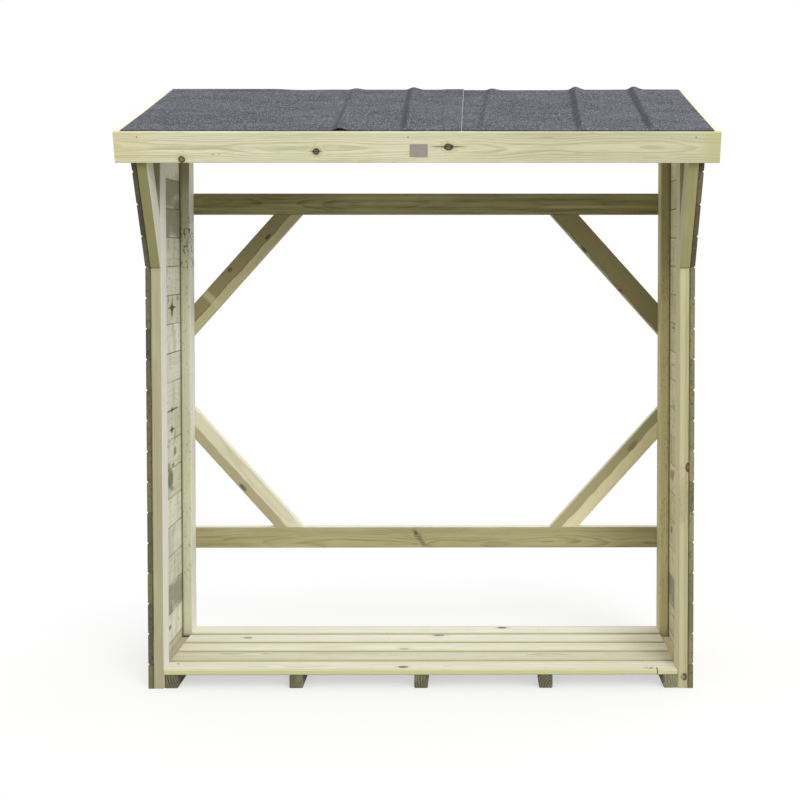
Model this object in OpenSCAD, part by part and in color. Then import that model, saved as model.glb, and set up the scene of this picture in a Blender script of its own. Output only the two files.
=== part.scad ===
// Timber log store: open front and back, boarded sides, slatted floor and a
// felted roof that falls to the front. Millimetres, +Z up, front towards -Y.
// The origin is on the ground, under the middle of the whole outline.

/* [Store] */
// Width over the outer faces of the side cladding
store_w = 1814; // [1400:2:2300]
// Depth from the front of the front posts to the rear of the back posts
store_d = 520; // [460:2:700]
// Height of the front fascia's top edge above the ground
eaves_h = 1826; // [1500:2:2200]

/* [Frame timber] */
// Thickness of the planed frame timber
stock_t = 34; // [22:1:45]
// Width of the planed frame timber
stock_w = 78; // [60:1:95]
// Rounding of the long edges of planed timber
edge_r = 4; // [1:0.5:6]

/* [Side walls] */
// Thickness of the cladding boards
clad_t = 18; // [14:1:24]
// Height of one cladding board with its joint
clad_pitch = 101.6; // [80:0.2:140]
// Height of the trimmed bottom board with its joint
first_board_h = 82.4; // [40:0.2:100]
// Open joint between one board and the next
clad_gap = 0.4; // [0.2:0.1:2]
// Chamfer of the V joints on the outer face
clad_chamfer = 4; // [1:0.5:7]
// Drop from the fascia's top edge to the start of the flare
flare_drop = 422.8; // [380:0.2:440]
// Lean of the knee braces and the flared boards from the vertical, in degrees
brace_angle = 27.5; // [24:0.5:32]
// Thickness of a knee brace at its level-cut lower end
brace_nose = 8; // [5:1:20]
// Height of the bottom battens
foot_batten_h = 54; // [30:1:62]
// Gap between a bottom batten and the posts
foot_batten_gap = 34; // [5:1:80]

/* [Floor] */
// Side of the square floor bearers
bearer_s = 45; // [34:1:70]
// Set-back of the bearers from the floor's front and back edges
bearer_inset = 4; // [0:1:60]
// Thickness of the floor slats
slat_t = 18; // [14:1:28]
// Gap between floor slats
slat_gap = 11; // [4:1:30]
// Clearance between the floor and the posts at each end
floor_clear = 0.3; // [0:0.1:5]

/* [Back frame] */
// Height of the lower back rail's underside above the ground
lower_rail_z = 356; // [200:2:600]
// Drop from the fascia's top edge to the upper back rail's underside
upper_rail_drop = 234; // [180:2:400]
// Slope of the corner diagonals from the level, in degrees
diagonal_angle = 48; // [35:1:60]
// Clear height of a post between its upper and lower diagonals
diagonal_gap = 274; // [150:2:500]

/* [Roof] */
// Pitch of the roof, rising to the back, in degrees
roof_pitch = 16.4; // [12:0.2:20]
// Overhang of the fascia's top edge in front of the front posts
front_overhang = 226; // [200:2:260]
// Overhang of the roof beyond the cladding at each side
side_overhang = 43; // [30:1:120]
// Clearance between the back fascia and the walls
rear_gap = 1; // [0.5:0.5:40]
// Clearance between the front fascia and the walls
front_gap = 0.5; // [0.3:0.1:3]
// Thickness of the fascias and bargeboards
trim_t = 18; // [14:1:24]
// Height of the fascias and bargeboards
trim_h = 98; // [84:1:130]
// Rounding of the long edges of the fascias and bargeboards
trim_r = 2; // [0.5:0.5:5]
// Rise of the rim above the deck
rim_rise = 1; // [0:0.5:10]
// Thickness of the deck boards
deck_t = 18; // [14:1:24]
// Number of deck boards
deck_count = 8; // [6:1:10]
// Gap between deck boards
deck_gap = 2; // [0.5:0.5:10]
// Height of the battens under the deck
roof_batten_h = 45; // [30:1:60]

/* [Felt] */
// Thickness of the mineral felt
felt_t = 3; // [2:0.5:6]
// Clearance between the felt and the rim
felt_gap = 1; // [0.5:0.5:10]
// Height of a ripple in the felt
ripple_h = 9; // [2:0.5:15]
// Half the width of a ripple
ripple_half_w = 45; // [25:1:60]
// Overlap of the two strips
lap_w = 60; // [30:1:80]
// Length over which the upper strip climbs on to the lower one
lap_climb = 30; // [15:1:40]
// Clearance between the lapped strips
lap_gap = 0.2; // [0.1:0.1:1]

/* [Hidden] */
$fn = 32;

// Counts that have a node each
bearer_count = 5;
slat_count = 5;

// Larger than the store, for cutting blocks
far = 4 * store_w;

// Half widths of the layers, from the outside in
clad_x = store_w / 2;
post_x = clad_x - clad_t;
inner_x = post_x - stock_t;
roof_x = clad_x + side_overhang;
deck_x = roof_x - trim_t;
felt_x = deck_x - felt_gap;

// Floor
floor_x = inner_x - floor_clear;
bearer_pitch = (2 * floor_x - bearer_s) / (bearer_count - 1);
slat_w = (store_d - (slat_count - 1) * slat_gap) / slat_count;

// Side walls
back_post_y = store_d - stock_w;
flare_z = eaves_h - flare_drop;

// Roof levels, measured square to the roof from the rim's top
deck_top = -rim_rise;
deck_under = deck_top - deck_t;
batten_under = deck_under - roof_batten_h;

// Length of the roof along its slope, from the fascia's front to the back fascia's rear
roof_reach = store_d + rear_gap + front_overhang + deck_under * sin(roof_pitch);
roof_l = roof_reach / cos(roof_pitch) + trim_t;
deck_l = roof_l - 2 * trim_t;
deck_w = (deck_l - (deck_count - 1) * deck_gap) / deck_count;

// Height of a roof level above the ground at depth y
function roof_z(y, level) =
  eaves_h + (y + front_overhang) * tan(roof_pitch) + level / cos(roof_pitch);

// Boards of one wall: a top offcut thinner than this stays on the board below
offcut_h = 20;
wall_top = roof_z(store_d, deck_under);
board_count = ceil((wall_top - first_board_h - offcut_h) / clad_pitch) + 1;
function board_foot(k) = k == 0 ? 0 : first_board_h + (k - 1) * clad_pitch;
function board_head(k) = k == board_count - 1 ? wall_top : board_foot(k + 1) - clad_gap;
plain_count = round((flare_z - first_board_h) / clad_pitch) + 1;

// Back frame: the diagonals' inner edges meet the rails at this reach from the posts
upper_rail_z = eaves_h - upper_rail_drop;
lower_rail_top = lower_rail_z + stock_w;
diagonal_rise = (upper_rail_z - lower_rail_top - diagonal_gap) / 2;
diagonal_reach = diagonal_rise / tan(diagonal_angle);

// Ripples in the felt, as shares of half the roof's width, and the side lap
left_ripples = [-0.264, -0.046];
right_ripples = [0.263, 0.558, 0.784];
lap_x = 0.147 * roof_x;
lap_start = lap_x - lap_w;
lap_rise = felt_t + lap_gap;
ripple_steps = [-1:0.25:1];

// The outline's middle, front to back
outline_front = -front_overhang;
trim_back = -front_overhang + roof_l * cos(roof_pitch) + trim_h * sin(roof_pitch);
outline_back = max(trim_back, store_d + stock_t);
middle_y = (outline_front + outline_back) / 2;

timber = "#d0caa2";
pale_timber = "#e4dec6";
olive_timber = "#8c8660";
dark_timber = "#a49c74";
felt_grey = "#6c6c74";

// Sets the store's front posts so that the outline is centred on the origin
module placed() {
  translate([0, -middle_y, 0]) children();
}

// The roof's own frame: Y runs up the slope from the fascia's top edge, Z is square to it
module on_roof() {
  translate([0, -front_overhang, eaves_h]) rotate([roof_pitch, 0, 0]) children();
}

// Everything above a roof level
module above_roof(level) {
  on_roof() translate([-far, -far, level]) cube([2 * far, 2 * far, far]);
}

// Everything in front of the front fascia's rear face and its clearance
module fascia_zone() {
  on_roof() translate([-far, -far, -far]) cube([2 * far, far + trim_t + front_gap, 2 * far]);
}

// Section of planed timber with rounded edges, one corner at the origin
module planed(w, h, r = edge_r) {
  translate([r, 0]) square([w - 2 * r, h]);
  translate([0, r]) square([w, h - 2 * r]);
  for (x = [r, w - r], y = [r, h - r])
    translate([x, y]) circle(r = r);
}

// Planed bar lying across the store, along X
module bar_across(length, depth, height, r = edge_r) {
  rotate([90, 0, 90]) linear_extrude(length) planed(depth, height, r);
}

// Planed bar lying front to back, along Y
module bar_back(length, width, height, r = edge_r) {
  translate([0, length, 0]) rotate([90, 0, 0]) linear_extrude(length) planed(width, height, r);
}

// Shows a left-hand piece as it is, or mirrored as the right-hand one
module on_side(side) {
  mirror([side == "right" ? 1 : 0, 0, 0]) children();
}

module floor_bearer(k) {
  color(dark_timber) placed()
    translate([-floor_x + k * bearer_pitch, bearer_inset, 0])
      bar_back(store_d - 2 * bearer_inset, bearer_s, bearer_s);
}

module floor_slat(k) {
  color(pale_timber) placed()
    translate([-floor_x, k * (slat_w + slat_gap), bearer_s])
      bar_across(2 * floor_x, slat_w, slat_t);
}

// Post that stands on the ground, its head cut to the slope under the roof batten
module post(side, y) {
  color(timber) placed() on_side(side) difference() {
    translate([-post_x, y, 0])
      linear_extrude(roof_z(y + stock_w, batten_under)) planed(stock_t, stock_w);
    above_roof(batten_under);
  }
}

// Brace from the front post to the roof batten, cut to the post, the batten and the fascia
module knee_brace(side) {
  color(olive_timber) placed() on_side(side) difference() {
    translate([-post_x, -brace_nose, flare_z]) rotate([brace_angle, 0, 0])
      translate([0, 0, -eaves_h / 4]) linear_extrude(eaves_h) planed(stock_t, stock_w);
    translate([-far, 0, 0]) cube([2 * far, far, far]);
    translate([-far, -far, flare_z - far]) cube([2 * far, 2 * far, far]);
    above_roof(batten_under);
    fascia_zone();
  }
}

module bottom_batten(side) {
  front = stock_w + foot_batten_gap;
  color(dark_timber) placed() on_side(side)
    translate([-post_x, front, 0])
      bar_back(back_post_y - foot_batten_gap - front, stock_t, foot_batten_h);
}

// Section of a cladding board, its outer face at x = 0 with the V joints' chamfers
module board_section(k) {
  h = board_head(k) - board_foot(k);
  foot_chamfer = k == 0 ? 0 : clad_chamfer;
  polygon([
    [foot_chamfer, 0], [clad_t, 0], [clad_t, h],
    [clad_chamfer, h], [0, h - clad_chamfer], [0, foot_chamfer]
  ]);
}

// Board of the given front end, square across
module square_board(k, front) {
  translate([-clad_x, store_d, board_foot(k)])
    rotate([90, 0, 0]) linear_extrude(store_d - front) board_section(k);
}

// Everything in front of the wall: plumb in line with the post, then along the knee brace
module front_zone() {
  reach = eaves_h * tan(brace_angle);
  rotate([90, 0, 90]) translate([0, 0, -far]) linear_extrude(2 * far)
    polygon([
      [0, -far], [0, flare_z], [-reach, flare_z + eaves_h], [-far, flare_z + eaves_h], [-far, -far]
    ]);
}

// A board that rises past the flare follows the knee brace, the fascia and the deck
module wall_board(k) {
  if (board_head(k) <= flare_z)
    square_board(k, 0);
  else
    difference() {
      square_board(k, -front_overhang);
      front_zone();
      above_roof(deck_under);
      fascia_zone();
    }
}

module wall_boards(side, first, last) {
  color(timber) placed() on_side(side)
    for (k = [first:last])
      wall_board(k);
}

module back_rail(z) {
  color(dark_timber) placed()
    translate([-clad_x, store_d, z]) bar_across(2 * clad_x, stock_t, stock_w);
}

// Diagonal from a back post's rear face to a rail, cut level on the rail and
// plumb at the post's outer face. Drawn for the upper left corner, then mirrored.
module diagonal(side, rail_z, up) {
  turn = up ? 0 : 1;
  color(olive_timber) placed() on_side(side)
    translate([-inner_x + diagonal_reach, store_d, rail_z]) mirror([0, 0, turn]) difference() {
      rotate([0, 90 - diagonal_angle, 0]) translate([0, 0, -far / 2])
        mirror([1, 0, 0]) linear_extrude(far) planed(stock_w, stock_t);
      translate([-far, -far, 0]) cube([2 * far, 2 * far, far]);
      translate([-diagonal_reach - stock_t - far, -far, -far]) cube([far, 2 * far, 2 * far]);
    }
}

module roof_batten(x) {
  color(timber) placed() on_roof()
    translate([x, trim_t, batten_under]) bar_back(deck_l, stock_t, roof_batten_h);
}

module roof_boards() {
  color(timber) placed() on_roof()
    for (k = [0:deck_count - 1])
      translate([-deck_x, trim_t + k * (deck_w + deck_gap), deck_under])
        cube([2 * deck_x, deck_w, deck_t]);
}

// Fascia across the full width, y along the slope, its top at the given level
module fascia(y, top) {
  color(timber) placed() on_roof()
    translate([-roof_x, y, -trim_h]) bar_across(2 * roof_x, trim_t, trim_h + top, trim_r);
}

module bargeboard(side) {
  color(timber) placed() on_side(side) on_roof()
    translate([-roof_x, trim_t, -trim_h]) bar_back(deck_l, trim_t, trim_h, trim_r);
}

// Height of a felt ripple at a distance from its crest, as a share of its half width
function ripple(share) = ripple_h * (1 + cos(180 * share)) / 2;

// Points along the underside of a felt strip's ripples, left to right
function ripple_points(crests) = [
  for (crest = crests, share = ripple_steps)
    [crest * roof_x + share * ripple_half_w, ripple(share)]
];

// Strip of felt with the given underside, laid up the slope from the fascia
module felt(underside) {
  topside = [for (i = [len(underside) - 1:-1:0]) underside[i] + [0, felt_t]];
  felt_l = roof_l - trim_t - felt_gap;
  color(felt_grey) placed() on_roof()
    translate([0, roof_l, deck_top]) rotate([90, 0, 0])
      linear_extrude(felt_l) polygon(concat(underside, topside));
}

// The left strip climbs over the right one's edge at the lap
module left_felt() {
  climb = [[lap_start - lap_climb, 0], [lap_start - lap_gap, lap_rise], [lap_x, lap_rise]];
  felt(concat([[-felt_x, 0]], ripple_points(left_ripples), climb));
}

module right_felt() {
  felt(concat([[lap_start, 0]], ripple_points(right_ripples), [[felt_x, 0]]));
}

floor_bearer(0);  // floor_bearer_1
floor_bearer(1);  // floor_bearer_2
floor_bearer(2);  // floor_bearer_3
floor_bearer(3);  // floor_bearer_4
floor_bearer(4);  // floor_bearer_5
floor_slat(0);  // floor_slat_1
floor_slat(1);  // floor_slat_2
floor_slat(2);  // floor_slat_3
floor_slat(3);  // floor_slat_4
floor_slat(4);  // floor_slat_5
post("left", 0);  // left_front_post
post("right", 0);  // right_front_post
post("left", back_post_y);  // left_back_post
post("right", back_post_y);  // right_back_post
knee_brace("left");  // left_knee_brace
knee_brace("right");  // right_knee_brace
bottom_batten("left");  // left_bottom_batten
bottom_batten("right");  // right_bottom_batten
wall_boards("left", 0, plain_count - 1);  // left_wall_boards
wall_boards("right", 0, plain_count - 1);  // right_wall_boards
wall_boards("left", plain_count, board_count - 1);  // left_flared_boards
wall_boards("right", plain_count, board_count - 1);  // right_flared_boards
back_rail(lower_rail_z);  // lower_back_rail
back_rail(upper_rail_z);  // upper_back_rail
diagonal("left", upper_rail_z, true);  // upper_left_diagonal
diagonal("right", upper_rail_z, true);  // upper_right_diagonal
diagonal("left", lower_rail_top, false);  // lower_left_diagonal
diagonal("right", lower_rail_top, false);  // lower_right_diagonal
roof_batten(-post_x);  // left_roof_batten
roof_batten(-stock_t / 2);  // middle_roof_batten
roof_batten(inner_x);  // right_roof_batten
roof_boards();
fascia(0, 0);  // front_fascia
fascia(roof_l - trim_t, deck_top);  // back_fascia
bargeboard("left");  // left_bargeboard
bargeboard("right");  // right_bargeboard
left_felt();
right_felt();
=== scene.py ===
"""Looks of a timber log store: treated pine on every stick and mineral felt on the roof."""
import math
import zlib

import bmesh
import bpy
from mathutils import Euler, Matrix, Vector, noise


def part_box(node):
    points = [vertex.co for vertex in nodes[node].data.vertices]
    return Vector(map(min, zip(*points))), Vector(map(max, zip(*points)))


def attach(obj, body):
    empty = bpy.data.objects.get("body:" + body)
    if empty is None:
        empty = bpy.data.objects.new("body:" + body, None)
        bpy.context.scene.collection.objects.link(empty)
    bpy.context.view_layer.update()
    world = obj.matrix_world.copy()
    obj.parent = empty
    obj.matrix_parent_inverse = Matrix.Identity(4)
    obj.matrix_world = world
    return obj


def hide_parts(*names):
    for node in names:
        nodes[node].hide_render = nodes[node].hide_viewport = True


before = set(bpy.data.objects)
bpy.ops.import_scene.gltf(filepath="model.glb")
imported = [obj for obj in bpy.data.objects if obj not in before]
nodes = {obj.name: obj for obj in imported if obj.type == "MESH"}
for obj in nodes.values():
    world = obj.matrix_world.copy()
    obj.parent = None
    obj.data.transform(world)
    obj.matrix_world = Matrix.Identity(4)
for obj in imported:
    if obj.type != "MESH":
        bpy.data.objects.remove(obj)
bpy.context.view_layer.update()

# Camera, fitted to the photograph's frame of 800 by 800
FRAME_PX = 800
SENSOR_MM = 36.0
FOCAL_PX = 1323.0
CAMERA_X = 0.180
CAMERA_BACK = 4.366
CAMERA_HEIGHT = 1.443
CAMERA_YAW = -0.0038
CAMERA_PITCH = 0.0309
CAMERA_SHIFT = (-0.10, -0.13)

# Sizes of the store that the finishes follow, in metres
ROOF_PITCH = math.radians(16.4)
BRACE_LEAN = math.radians(27.5)
DIAGONAL_SLOPE = math.radians(48)
BOARD_PITCH = 0.1016
FIRST_JOINT = 0.0824
DECK_PITCH = 0.0946
TRIM_T = 0.018
FELT_T = 0.003
FELT_LIFT = 0.001

# Directions of the frame
TO_RIGHT = (1, 0, 0)
TO_LEFT = (-1, 0, 0)
TO_FRONT = (0, -1, 0)
TO_BACK = (0, 1, 0)
UPWARD = (0, 0, 1)

front_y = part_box("left_front_post")[0].y
back_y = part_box("left_back_post")[1].y
roof_low, roof_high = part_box("front_fascia")
up_slope = Vector((0.0, math.cos(ROOF_PITCH), math.sin(ROOF_PITCH)))
off_slope = Vector((0.0, -math.sin(ROOF_PITCH), math.cos(ROOF_PITCH)))
eaves = Vector((0.0, roof_low.y, roof_high.z - TRIM_T * math.sin(ROOF_PITCH)))
roof_length = (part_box("back_fascia")[1].z - eaves.z) / math.sin(ROOF_PITCH)


def srgb(red, green, blue):
    """A colour as a picture shows it, 0 to 255, as the linear colour that a shader takes."""
    def linear(level):
        share = level / 255
        return share / 12.92 if share <= 0.04045 else ((share + 0.055) / 1.055) ** 2.4
    return (linear(red), linear(green), linear(blue), 1.0)


class Wire:
    """The value on a shader socket. Sums on it add Math nodes to its material."""

    def __init__(self, bench, socket):
        self.bench = bench
        self.socket = socket

    def out(self, name):
        """Another output of the same node."""
        return Wire(self.bench, self.socket.node.outputs[name])

    def __add__(self, other):
        return self.bench.maths("ADD", self, other)

    __radd__ = __add__

    def __sub__(self, other):
        return self.bench.maths("SUBTRACT", self, other)

    def __rsub__(self, other):
        return self.bench.maths("SUBTRACT", other, self)

    def __mul__(self, other):
        return self.bench.maths("MULTIPLY", self, other)

    __rmul__ = __mul__

    def __truediv__(self, other):
        return self.bench.maths("DIVIDE", self, other)


class Bench:
    """The node tree of one material or of the world."""

    def __init__(self, owner):
        owner.use_nodes = True
        self.owner = owner
        self.tree = owner.node_tree
        self.tree.nodes.clear()

    def node(self, kind, settings=None, inputs=None, out=0):
        """Adds a node: first its settings, then the values or links of its sockets."""
        made = self.tree.nodes.new(kind)
        for name, value in (settings or {}).items():
            setattr(made, name, value)
        for name, value in (inputs or {}).items():
            if isinstance(value, Wire):
                self.tree.links.new(value.socket, made.inputs[name])
            else:
                made.inputs[name].default_value = value
        return Wire(self, made.outputs[out]) if made.outputs else None

    def maths(self, operation, first, second=0.0):
        return self.node("ShaderNodeMath", {"operation": operation}, {0: first, 1: second})

    def vector(self, operation, first, second=(0, 0, 0), out=0):
        return self.node("ShaderNodeVectorMath", {"operation": operation}, {0: first, 1: second}, out)

    def scale(self, first, factor):
        return self.node("ShaderNodeVectorMath", {"operation": "SCALE"}, {0: first, "Scale": factor})

    def ease(self, value, start, end):
        """0 up to start and 1 from end on, with a smooth step between. Start may be the larger one."""
        limits = {"Value": value, "From Min": start, "From Max": end}
        return self.node("ShaderNodeMapRange", {"interpolation_type": "SMOOTHSTEP"}, limits)

    def mix(self, share, first, second, blend="MIX"):
        settings = {"data_type": "RGBA", "blend_type": blend}
        return self.node("ShaderNodeMix", settings, {0: share, 6: first, 7: second}, 2)

    def noise(self, place, stretch, detail=2.0, roughness=0.5):
        """Noise on coordinates that are stretched along each axis."""
        scaled = self.vector("MULTIPLY", place, stretch)
        inputs = {"Vector": scaled, "Scale": 1.0, "Detail": detail, "Roughness": roughness}
        return self.node("ShaderNodeTexNoise", {"noise_dimensions": "3D"}, inputs)

    def seen(self):
        """1 for what the camera sees, directly or through a gloss, and 0 for light that only bounces."""
        path = self.node("ShaderNodeLightPath", None, None, "Is Camera Ray")
        passed_on = self.maths("MAXIMUM", path.out("Is Glossy Ray"), path.out("Is Transmission Ray"))
        return self.maths("MAXIMUM", path, passed_on)

    def surface(self, colour, roughness, height, depth, metallic=0.0):
        """Ends the tree in one shader, with a bump of the given depth in metres."""
        bump = self.node("ShaderNodeBump", None, {"Height": height, "Distance": depth, "Strength": 1.0})
        inputs = {"Base Color": colour, "Roughness": roughness, "Metallic": metallic, "Normal": bump}
        inputs["Specular IOR Level"] = 0.3
        shader = self.node("ShaderNodeBsdfPrincipled", None, inputs)
        self.node("ShaderNodeOutputMaterial", None, {"Surface": shader})
        return self.owner


# Which way a stick's grain runs, as the turn about X and Y that brings the grain upright
ALONG_X = (0.0, -math.pi / 2)
ALONG_Y = (math.pi / 2, 0.0)
ALONG_Z = (0.0, 0.0)
UP_ROOF = (math.pi / 2 - ROOF_PITCH, 0.0)
UP_BRACE = (-BRACE_LEAN, 0.0)
UP_RIGHT = (0.0, DIAGONAL_SLOPE - math.pi / 2)
UP_LEFT = (0.0, math.pi / 2 - DIAGONAL_SLOPE)

KNOT_HEART = srgb(92, 80, 58)
KNOT_PITH = srgb(138, 124, 96)
KNOT_RIM = srgb(44, 36, 24)
KNOT_HALO = srgb(176, 160, 108)
MOULD = srgb(72, 78, 54)
GREEN_SALT = srgb(196, 202, 150)
SALT_SHARE = 0.2
PITH_WANDER = 0.055
FRAYED = (0.0018, 0.0018, 0.0)
# Stray knots of a plain stick: largest radius, and the share of places that have one
STRAY_KNOTS = (0.006, 0.45)
# Stray knots of the wall boards and of the deck boards
WALL_STRAY_KNOTS = (0.012, 0.5)
DECK_STRAY_KNOTS = (0.010, 0.5)


def seeds(name, count):
    """Repeatable numbers from 0 to 1 for a piece, from its name."""
    return [zlib.crc32(f"{name} {i}".encode()) % 1000 / 1000 for i in range(count)]


class Stick:
    """Pine on one node: coordinates that follow its grain, and the layers of its finish."""

    def __init__(self, node, lie, thin):
        self.name = node
        self.thin = thin
        self.bench = bench = Bench(bpy.data.materials.new(f"{node}_pine"))
        self.turn = Euler((lie[0], lie[1], 0.0)).to_matrix()
        low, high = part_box(node)
        self.centre = (low + high) / 2
        self.where = bench.node("ShaderNodeTexCoord", None, None, "Object")
        rotation = (lie[0], lie[1], 0.0)
        turned = {"Vector": self.where, "Rotation": rotation, "Location": -(self.turn @ self.centre)}
        self.flat = bench.node("ShaderNodeMapping", {"vector_type": "POINT"}, turned)
        self.place = self.flat
        turned = {"Vector": self.where.out("Normal"), "Rotation": rotation}
        normal = bench.node("ShaderNodeMapping", {"vector_type": "VECTOR"}, turned)
        along = bench.node("ShaderNodeSeparateXYZ", None, {"Vector": normal}, "Z")
        self.end = bench.ease(bench.maths("ABSOLUTE", along), 0.6, 0.9)
        self.seed = seeds(node, 6)
        self.rough = bench.noise(self.flat, (150, 150, 70), 2.0)
        self.row = None
        self.tone = 0.0
        self.knot = None

    def courses(self, rise, first, pitch):
        """Splits the node into boards that lie beside each other along the direction rise."""
        bench = self.bench
        level = bench.vector("DOT_PRODUCT", self.where, rise, "Value")
        count = (level - first) / pitch
        self.row = bench.maths("FLOOR", count)
        self.joint = bench.maths("PINGPONG", count, 0.5) * pitch
        luck = bench.node("ShaderNodeTexWhiteNoise", {"noise_dimensions": "1D"},
                          {"W": self.row + 40 * self.seed[5]}, "Color")
        self.luck = luck.out("Value")
        self.tone = self.luck - 0.5
        middle = (self.row + 0.5) * pitch + (first - self.centre.dot(rise))
        own = bench.vector("SUBTRACT", self.flat, bench.scale(self.turn @ rise, middle))
        slide = bench.vector("SUBTRACT", luck, (0.5, 0.5, 0.5))
        self.place = bench.vector("ADD", own, bench.vector("MULTIPLY", slide, (0.02, 0.05, 5.0)))

    def joint_lines(self, colour, width, share):
        """Dirt along the joints between the boards, out to the given distance."""
        ragged = self.joint + (self.fine - 0.5) * width
        filled = 0.35 + 0.65 * self.bench.ease(self.bench.noise(self.moved, (12, 12, 6), 2.0), 0.4, 0.6)
        self.layer(self.bench.ease(ragged, width, width * 0.4) * filled * share, colour)

    def marked_rows(self, rows, colour, share, toward):
        """Boards with another tone on the faces that look one way, counted up from the first joint."""
        bench = self.bench
        soaked = bench.noise(self.moved, (18, 18, 6), 3.0)
        soaked = soaked + bench.ease(self.joint, 0.0, 0.014) * 0.10 + 0.03
        rim = bench.ease(bench.maths("ABSOLUTE", soaked - 0.46), 0.040, 0.0)
        for row in rows:
            chosen = bench.ease(bench.maths("ABSOLUTE", self.row - row), 0.6, 0.4)
            self.layer(chosen * bench.ease(soaked, 0.34, 0.60) * share, colour, toward)
            self.layer(chosen * rim * 0.22, MOULD, toward)

    def stains(self, colour, share):
        """Soft water stains that cross the grain."""
        spread = self.bench.noise(self.moved, (5, 5, 22), 3.0)
        self.layer(self.bench.ease(spread, 0.45, 0.72) * share, colour)

    def looks(self, direction):
        """1 on the faces that look in one direction of the frame, 0 on the others."""
        turned = self.bench.vector("DOT_PRODUCT", self.where.out("Normal"), direction, "Value")
        return self.bench.ease(turned, 0.55, 0.85)

    def stripe(self, direction, middle, half_width, colour, share, toward=None, blend="MIX"):
        """A soft stripe at a place along one direction, on all faces or on those that look one way."""
        level = self.bench.vector("DOT_PRODUCT", self.where, direction, "Value")
        apart = self.bench.maths("ABSOLUTE", level - middle)
        self.layer(self.bench.ease(apart, half_width, half_width * 0.3) * share, colour, toward, blend)

    def facing(self, direction, colour, share):
        """Another tone on the faces that look in one direction of the frame."""
        self.layer(share, colour, direction)

    def nearer_knot(self, distance):
        """Distances are in knot radii, from the nearest knot's middle, with a ragged outline."""
        ragged = distance * (0.65 + 0.7 * self.rough)
        self.knot = ragged if self.knot is None else self.bench.maths("MINIMUM", self.knot, ragged)

    def spot_knot(self, point, radius, long, through=None):
        """A knot at a point of the frame, right through the stick along its thin side."""
        at = self.turn @ (Vector(point) - self.centre)
        across = 1 / radius
        weights = {"a": (0.0, across, across / long), "b": (across, 0.0, across / long)}
        offset = self.bench.vector("SUBTRACT", self.flat, at)
        scaled = self.bench.vector("MULTIPLY", offset, weights[through or self.thin])
        self.nearer_knot(self.bench.vector("LENGTH", scaled, out="Value"))

    def stray_knots(self, largest, share):
        """Knots at random places, at most the given radius, in a share of the cells."""
        bench = self.bench
        cells = Vector((9.0, 9.0, 3.4))
        start = Vector(self.seed[:3]) * 20
        spread = bench.vector("ADD", bench.vector("MULTIPLY", self.place, cells), start)
        cell = bench.node("ShaderNodeTexVoronoi", {"voronoi_dimensions": "3D", "feature": "F1"},
                          {"Vector": spread, "Scale": 1.0}, "Position")
        offset = bench.vector("SUBTRACT", spread, cell)
        metres = bench.vector("DIVIDE", offset, cells)
        luck = bench.node("ShaderNodeSeparateXYZ", None, {"Vector": cell.out("Color")})
        radius = bench.maths("MAXIMUM", (luck - (1 - share)) * (largest / share), 0.0003)
        self.nearer_knot(bench.vector("LENGTH", metres, out="Value") / radius)

    def grain(self, pale, deep, figure=0.5, ring=0.0045, fibre=0.5, streak=0.5, blotch=0.5):
        """Growth rings round a wandering pith, with fibres, streaks and blotches over them."""
        bench = self.bench
        to_side = (self.seed[0] - 0.5) * 0.05
        to_back = 0.022 + 0.035 * self.seed[1]
        pith = (to_back, to_side, 0.0) if self.thin == "a" else (to_side, to_back, 0.0)
        drift = Vector(self.seed[1:4]) * 30
        moved = bench.vector("ADD", self.place, drift)
        bend = bench.vector("SUBTRACT", bench.noise(moved, (3, 3, 1.6)).out("Color"), (0.5, 0.5, 0.5))
        wander = bench.vector("MULTIPLY", bend, (PITH_WANDER, PITH_WANDER, 0))
        across = bench.vector("SUBTRACT", bench.vector("MULTIPLY", self.place, (1, 1, 0)), pith)
        radius = bench.vector("LENGTH", bench.vector("ADD", across, wander), out="Value")
        if self.knot is not None:
            radius = radius + bench.ease(self.knot, 3.2, 0.6) * 0.007
        wobble = bench.noise(moved, (90, 90, 9), 2.0)
        phase = bench.maths("FRACT", radius / ring + wobble * 0.5)
        late = bench.ease(phase, 0.35, 0.9) * bench.ease(phase, 1.0, 0.93)
        fine = bench.noise(moved, (520, 520, 10), 3.0, 0.6)
        bands = bench.noise(moved, (75, 75, 1.6), 2.0)
        clouds = bench.noise(moved, (9, 9, 2.2), 3.0)
        dashes = bench.ease(bench.noise(moved, (240, 240, 13), 2.0), 0.58, 0.74)
        faded = bench.ease(bench.noise(moved, (16, 16, 3), 2.0), 0.3, 0.65)
        depth = (late - 0.3) * faded * figure + dashes * (0.7 * figure) + (fine - 0.5) * fibre
        depth = depth + (bands - 0.5) * streak
        depth = depth + (clouds - 0.5) * blotch + self.tone * 0.6 + 0.45
        self.colour = bench.mix(depth, pale, deep)
        patch = bench.ease(bench.noise(moved, (14, 14, 4), 3.0), 0.5, 0.72) * SALT_SHARE
        self.colour = bench.mix(patch, self.colour, GREEN_SALT)
        self.height = fine * 0.5 + late * 0.5
        self.fine = fine
        self.moved = moved

    def layer(self, share, colour, toward=None, blend="MIX"):
        """Lays a colour over the finish, on all faces or on those that look one way."""
        mask = self.looks(toward) * share if toward else share
        self.colour = self.bench.mix(mask, self.colour, colour, blend)

    def paint_knots(self, strength=1.0):
        bench = self.bench
        self.layer(bench.ease(self.knot, 2.6, 1.0) * (0.4 * strength), KNOT_HALO)
        self.layer(bench.ease(self.knot, 1.08, 0.9) * (0.9 * strength), KNOT_HEART)
        rim = bench.ease(self.knot, 0.55, 0.85) * bench.ease(self.knot, 1.2, 0.98)
        self.layer(rim * (0.85 * strength), KNOT_RIM)
        self.layer(bench.ease(self.knot, 0.55, 0.2) * (0.6 * strength), KNOT_PITH)

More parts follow.
